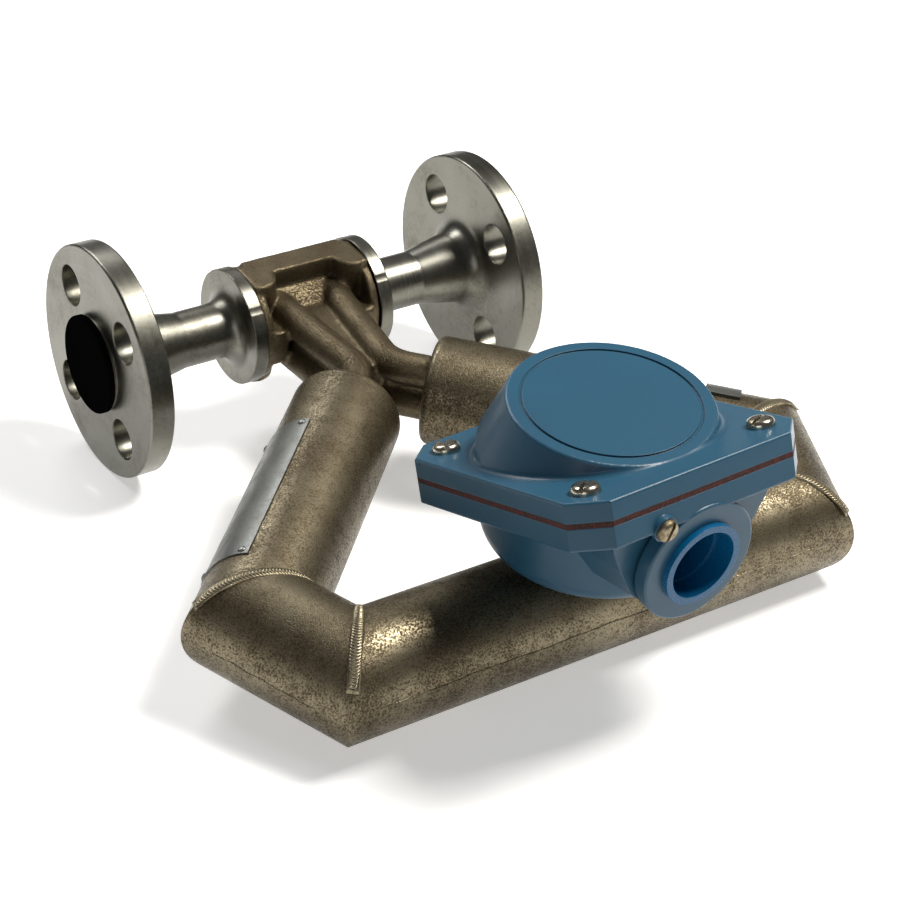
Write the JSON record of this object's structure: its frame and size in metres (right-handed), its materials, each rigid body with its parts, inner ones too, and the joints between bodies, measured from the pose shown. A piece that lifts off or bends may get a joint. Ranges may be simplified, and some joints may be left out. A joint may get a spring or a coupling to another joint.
{
  "type": "coriolis mass flow meter",
  "caption": "Flanged twin-tube mass flow meter: branched manifold, tubular delta case, slant-cover blue junction box with a capped conduit entry.",
  "frame": {"origin": "centre of the inlet flange's raised face, on the pipe axis", "axes": "+X along the pipe with the flow, +Z towards the junction box, square to the plane of the tube loop"},
  "size_m": [0.2577, 0.2888, 0.1269],
  "materials": {
    "flange_steel": "fine turned stainless steel, satin",
    "casting_steel": "investment cast stainless steel, blasted and warm tinted",
    "case_steel": "rolled stainless tube, blasted, warm tinted with fine dark specks",
    "weld_metal": "rippled weld bead, bright",
    "inner_steel": "drawn stainless steel",
    "plate_metal": "thin plain metal plate",
    "box_paint": "gloss blue paint on cast aluminium",
    "gasket_rubber": "dark red-brown fibre and rubber gasket",
    "screw_steel": "nickel plated, polished",
    "earth_screw_steel": "plated steel, grainy",
    "plug_plastic": "bright blue translucent plastic",
    "protector_plastic": "black plastic",
    "terminal_plastic": "black moulded plastic",
    "terminal_brass": "plated brass",
    "magnet_metal": "nickel plated magnet",
    "coil_copper": "enamelled copper wire on a bobbin"
  },
  "bodies": {
    "meter": {"inlet_flange": "flange_steel", "outlet_flange": "flange_steel", "manifold": "casting_steel", "inlet_leg_cap": "case_steel", "inlet_leg_tube": "case_steel", "inlet_corner_tube": "case_steel", "inlet_brace_bar": "inner_steel", "outlet_leg_cap": "case_steel", "outlet_leg_tube": "case_steel", "outlet_corner_tube": "case_steel", "outlet_brace_bar": "inner_steel", "base_tube": "case_steel", "mitre_welds": "weld_metal", "nameplate": "plate_metal", "nameplate_rivets": "plate_metal", "leg_tag": "plate_metal", "box_neck": "case_steel", "feedthrough_header": "inner_steel", "junction_body": "box_paint", "cover_gasket": "gasket_rubber", "junction_cover": "box_paint", "cover_screws": "screw_steel", "ground_screw": "earth_screw_steel", "terminal_block": "terminal_plastic", "terminal_screws": "terminal_brass"},
    "upper_tube": {"upper_flow_tube": "inner_steel", "inlet_pickup_magnet_bracket": "inner_steel", "inlet_pickup_magnet": "magnet_metal", "outlet_pickup_magnet_bracket": "inner_steel", "outlet_pickup_magnet": "magnet_metal", "drive_magnet_bracket": "inner_steel", "drive_magnet": "magnet_metal"},
    "lower_tube": {"lower_flow_tube": "inner_steel", "temperature_sensor": "inner_steel", "inlet_pickup_coil_bracket": "inner_steel", "inlet_pickup_coil": "coil_copper", "outlet_pickup_coil_bracket": "inner_steel", "outlet_pickup_coil": "coil_copper", "drive_coil_bracket": "inner_steel", "drive_coil": "coil_copper"},
    "inlet_cap": {"inlet_protector": "protector_plastic"},
    "outlet_cap": {"outlet_protector": "protector_plastic"},
    "thread_plug": {"conduit_plug": "plug_plastic"}
  },
  "joints": [
    {"name": "upper_tube_vibration", "type": "hinge", "parent": "meter", "child": "upper_tube", "pos_m": [0.08665, -0.08049, 0.00725], "axis": [1, 0, 0], "range_deg": [-0.15, 0.15], "stiffness_Nm_per_rad": 100},
    {"name": "lower_tube_vibration", "type": "hinge", "parent": "meter", "child": "lower_tube", "pos_m": [0.08665, -0.08049, -0.00725], "axis": [1, 0, 0], "range_deg": [-0.15, 0.15], "stiffness_Nm_per_rad": 100},
    {"name": "inlet_cap_pull", "type": "slide", "parent": "meter", "child": "inlet_cap", "axis": [-1, 0, 0], "range_m": [0, 0.03]},
    {"name": "outlet_cap_pull", "type": "slide", "parent": "meter", "child": "outlet_cap", "axis": [1, 0, 0], "range_m": [0, 0.03]},
    {"name": "thread_plug_pull", "type": "slide", "parent": "meter", "child": "thread_plug", "axis": [0.0471, -0.9989, 0], "range_m": [0, 0.03]}
  ],
  "couplings": [
    {"joint": "lower_tube_vibration", "follows": "upper_tube_vibration", "ratio": -1}
  ]
}
